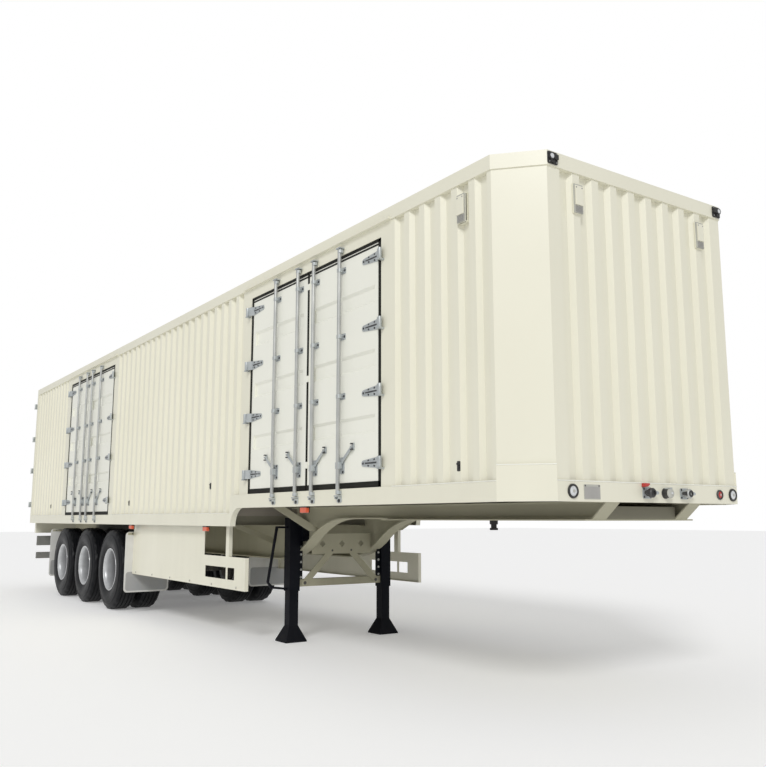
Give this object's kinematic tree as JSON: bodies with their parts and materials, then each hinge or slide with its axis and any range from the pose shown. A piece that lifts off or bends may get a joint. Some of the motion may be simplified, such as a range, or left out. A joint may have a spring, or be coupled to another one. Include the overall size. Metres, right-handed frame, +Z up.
{
  "type": "semi trailer",
  "caption": "Box semi-trailer with corrugated walls, double doors in both sides and the tail, three twin-tyred axles, a kingpin plate and landing legs.",
  "frame": {"origin": "on the ground under the middle of the body", "axes": "+X forward towards the kingpin end, +Y to the trailer's left, +Z up"},
  "size_m": [13.8105, 2.584, 3.8],
  "materials": {
    "body_cream": "gloss paint, slightly dusty",
    "door_cream": "gloss paint",
    "galvanised": "dull galvanised",
    "underframe_paint": "dusty cream paint",
    "axle_black": "satin black paint",
    "leg_black": "satin black paint",
    "deck_grey": "matt primer",
    "spring_steel": "oiled black steel",
    "tyre": "matt rubber",
    "wheel_silver": "silver paint",
    "flap_grey": "matt",
    "coupling_red": "satin",
    "lamp_red": "gloss",
    "vent_grey": "matt"
  },
  "bodies": {
    "chassis": {"main_beams": "underframe_paint", "cross_members": "underframe_paint", "coupler_plate": "underframe_paint", "floor_deck": "deck_grey", "bottom_rails": "body_cream", "side_wall_right": "body_cream", "side_wall_left": "body_cream", "front_wall": "body_cream", "corner_panels": "body_cream", "top_rails": "body_cream", "roof_sheet": "body_cream", "tail_frame": "body_cream", "doorway_frames": "body_cream", "door_lugs": "galvanised", "axles": "axle_black", "leaf_springs": "spring_steel", "suspension_hangers": "underframe_paint", "brake_chambers": "axle_black", "air_tanks": "axle_black", "landing_legs": "leg_black", "leg_bracing": "underframe_paint", "side_guards": "body_cream", "mudflaps": "flap_grey", "underrun_guard": "underframe_paint", "front_couplings": "coupling_red", "lamps": "lamp_red", "vent_covers": "vent_grey"},
    "right_front_fore_leaf": {"door_right_front_fore": "door_cream", "gear_right_front_fore": "galvanised"},
    "right_front_aft_leaf": {"door_right_front_aft": "door_cream", "gear_right_front_aft": "galvanised"},
    "right_tail_fore_leaf": {"door_right_tail_fore": "door_cream", "gear_right_tail_fore": "galvanised"},
    "right_tail_aft_leaf": {"door_right_tail_aft": "door_cream", "gear_right_tail_aft": "galvanised"},
    "left_front_fore_leaf": {"door_left_front_fore": "door_cream", "gear_left_front_fore": "galvanised"},
    "left_front_aft_leaf": {"door_left_front_aft": "door_cream", "gear_left_front_aft": "galvanised"},
    "left_tail_fore_leaf": {"door_left_tail_fore": "door_cream", "gear_left_tail_fore": "galvanised"},
    "left_tail_aft_leaf": {"door_left_tail_aft": "door_cream", "gear_left_tail_aft": "galvanised"},
    "tail_right_leaf": {"door_tail_right": "door_cream", "gear_tail_right": "galvanised"},
    "tail_left_leaf": {"door_tail_left": "door_cream", "gear_tail_left": "galvanised"},
    "wheels_right_1": {"tyres_right_1": "tyre", "wheel_right_1": "wheel_silver"},
    "wheels_left_1": {"tyres_left_1": "tyre", "wheel_left_1": "wheel_silver"},
    "wheels_right_2": {"tyres_right_2": "tyre", "wheel_right_2": "wheel_silver"},
    "wheels_left_2": {"tyres_left_2": "tyre", "wheel_left_2": "wheel_silver"},
    "wheels_right_3": {"tyres_right_3": "tyre", "wheel_right_3": "wheel_silver"},
    "wheels_left_3": {"tyres_left_3": "tyre", "wheel_left_3": "wheel_silver"}
  },
  "joints": [
    {"name": "right_front_fore_hinge", "type": "hinge", "parent": "chassis", "child": "right_front_fore_leaf", "pos_m": [5.23, -1.275, 2.5], "axis": [0, 0, 1], "range_deg": [0, 180]},
    {"name": "right_front_aft_hinge", "type": "hinge", "parent": "chassis", "child": "right_front_aft_leaf", "pos_m": [2.75, -1.275, 2.5], "axis": [0, 0, -1], "range_deg": [0, 180]},
    {"name": "right_tail_fore_hinge", "type": "hinge", "parent": "chassis", "child": "right_tail_fore_leaf", "pos_m": [-1.875, -1.275, 2.5], "axis": [0, 0, 1], "range_deg": [0, 180]},
    {"name": "right_tail_aft_hinge", "type": "hinge", "parent": "chassis", "child": "right_tail_aft_leaf", "pos_m": [-4.355, -1.275, 2.5], "axis": [0, 0, -1], "range_deg": [0, 180]},
    {"name": "left_front_fore_hinge", "type": "hinge", "parent": "chassis", "child": "left_front_fore_leaf", "pos_m": [5.23, 1.275, 2.5], "axis": [0, 0, -1], "range_deg": [0, 180]},
    {"name": "left_front_aft_hinge", "type": "hinge", "parent": "chassis", "child": "left_front_aft_leaf", "pos_m": [2.75, 1.275, 2.5], "axis": [0, 0, 1], "range_deg": [0, 180]},
    {"name": "left_tail_fore_hinge", "type": "hinge", "parent": "chassis", "child": "left_tail_fore_leaf", "pos_m": [-1.875, 1.275, 2.5], "axis": [0, 0, -1], "range_deg": [0, 180]},
    {"name": "left_tail_aft_hinge", "type": "hinge", "parent": "chassis", "child": "left_tail_aft_leaf", "pos_m": [-4.355, 1.275, 2.5], "axis": [0, 0, 1], "range_deg": [0, 180]},
    {"name": "tail_right_hinge", "type": "hinge", "parent": "chassis", "child": "tail_right_leaf", "pos_m": [-6.875, -1.275, 2.5], "axis": [0, 0, 1], "range_deg": [0, 265]},
    {"name": "tail_left_hinge", "type": "hinge", "parent": "chassis", "child": "tail_left_leaf", "pos_m": [-6.875, 1.275, 2.5], "axis": [0, 0, -1], "range_deg": [0, 265]},
    {"name": "wheels_right_1_turn", "type": "hinge", "parent": "chassis", "child": "wheels_right_1", "pos_m": [-1.77, -0.915, 0.561], "axis": [0, 1, 0], "continuous": true},
    {"name": "wheels_left_1_turn", "type": "hinge", "parent": "chassis", "child": "wheels_left_1", "pos_m": [-1.77, 0.915, 0.561], "axis": [0, 1, 0], "continuous": true},
    {"name": "wheels_right_2_turn", "type": "hinge", "parent": "chassis", "child": "wheels_right_2", "pos_m": [-3.08, -0.915, 0.561], "axis": [0, 1, 0], "continuous": true},
    {"name": "wheels_left_2_turn", "type": "hinge", "parent": "chassis", "child": "wheels_left_2", "pos_m": [-3.08, 0.915, 0.561], "axis": [0, 1, 0], "continuous": true},
    {"name": "wheels_right_3_turn", "type": "hinge", "parent": "chassis", "child": "wheels_right_3", "pos_m": [-4.39, -0.915, 0.561], "axis": [0, 1, 0], "continuous": true},
    {"name": "wheels_left_3_turn", "type": "hinge", "parent": "chassis", "child": "wheels_left_3", "pos_m": [-4.39, 0.915, 0.561], "axis": [0, 1, 0], "continuous": true}
  ]
}
